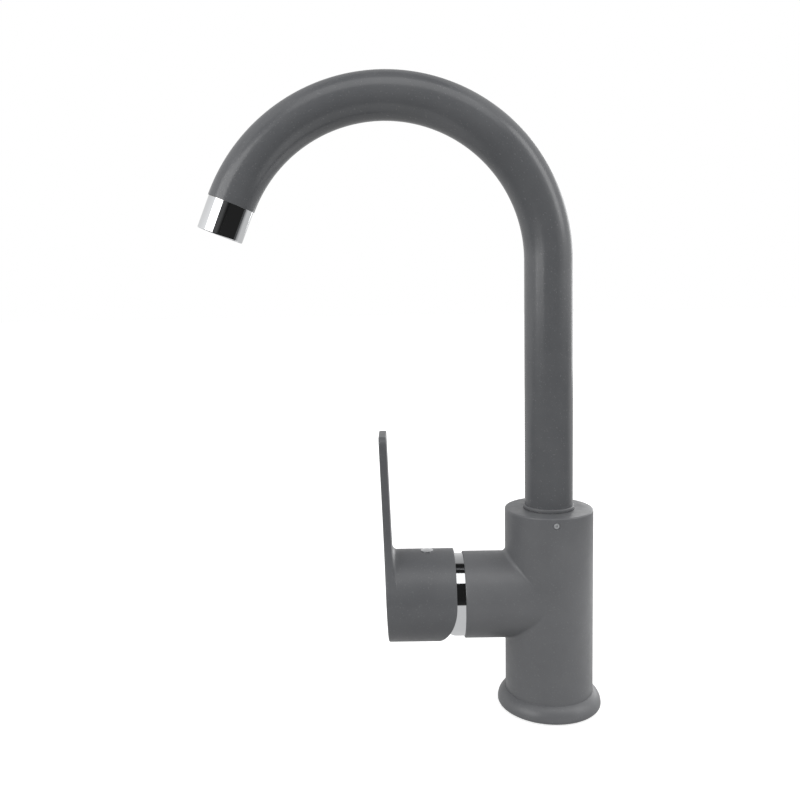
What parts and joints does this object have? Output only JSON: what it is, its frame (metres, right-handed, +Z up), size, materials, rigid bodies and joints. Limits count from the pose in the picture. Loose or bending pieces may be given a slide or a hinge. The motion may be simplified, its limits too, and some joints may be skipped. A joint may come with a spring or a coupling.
{
  "type": "mixer tap",
  "caption": "Swan-neck mixer tap: a swivelling spout with an aerator, and a side lever that tilts for flow and turns to blend hot and cold water.",
  "frame": {"origin": "centre of the seal's underside, where the tap stands on the deck, on the spout's swivel axis", "axes": "+Z up along the body and the spout's swivel axis; the spout and the lever point along -X; +Y is the cold side's inlet"},
  "size_m": [0.2073, 0.0546, 0.3337],
  "materials": {
    "grey_paint": "satin",
    "polished_chrome": "polished",
    "bare_brass": "machined",
    "black_rubber": "matte",
    "white_plastic": "moulded",
    "white_ceramic": "lapped",
    "steel": "turned"
  },
  "bodies": {
    "body": {"body": "grey_paint", "base_ring": "grey_paint", "base_seal": "black_rubber", "slide_washer": "white_plastic", "spout_lock_screw": "steel", "cartridge_base": "white_plastic", "base_port_seals": "black_rubber", "disc_port_seals": "black_rubber", "fixed_disc": "white_ceramic", "cartridge_housing": "white_plastic", "cartridge_nut": "bare_brass", "dome_cover": "polished_chrome"},
    "spout": {"spout_tube": "grey_paint", "spout_spigot": "bare_brass", "lower_o_ring": "black_rubber", "upper_o_ring": "black_rubber", "spout_collar": "grey_paint", "outlet_nipple": "bare_brass", "aerator_shell": "polished_chrome", "aerator_seal": "black_rubber", "aerator_insert": "white_plastic", "aerator_screen": "steel"},
    "turret": {"turret": "white_plastic", "stem_pin": "steel"},
    "lever": {"stem": "steel", "lever": "grey_paint", "lever_clamp_screw": "steel", "index_cap": "polished_chrome"},
    "disc": {"moving_disc": "white_ceramic", "disc_carrier": "white_plastic"}
  },
  "joints": [
    {"name": "spout_swivel", "type": "hinge", "parent": "body", "child": "spout", "pos_m": [0, 0, 0.09], "axis": [0, 0, 1], "continuous": true},
    {"name": "temperature_turn", "type": "hinge", "parent": "body", "child": "turret", "pos_m": [-0.0395, 0, 0.0605], "axis": [1, 0, 0], "range_deg": [-50, 50]},
    {"name": "flow_tilt", "type": "hinge", "parent": "turret", "child": "lever", "pos_m": [-0.0395, 0, 0.0605], "axis": [0, -1, 0], "range_deg": [0, 25]},
    {"name": "disc_slide", "type": "slide", "parent": "turret", "child": "disc", "axis": [0, 0, 1], "range_m": [0, 0.0052]}
  ],
  "couplings": [
    {"joint": "disc_slide", "follows": "flow_tilt", "m_per_rad": 0.01162}
  ]
}
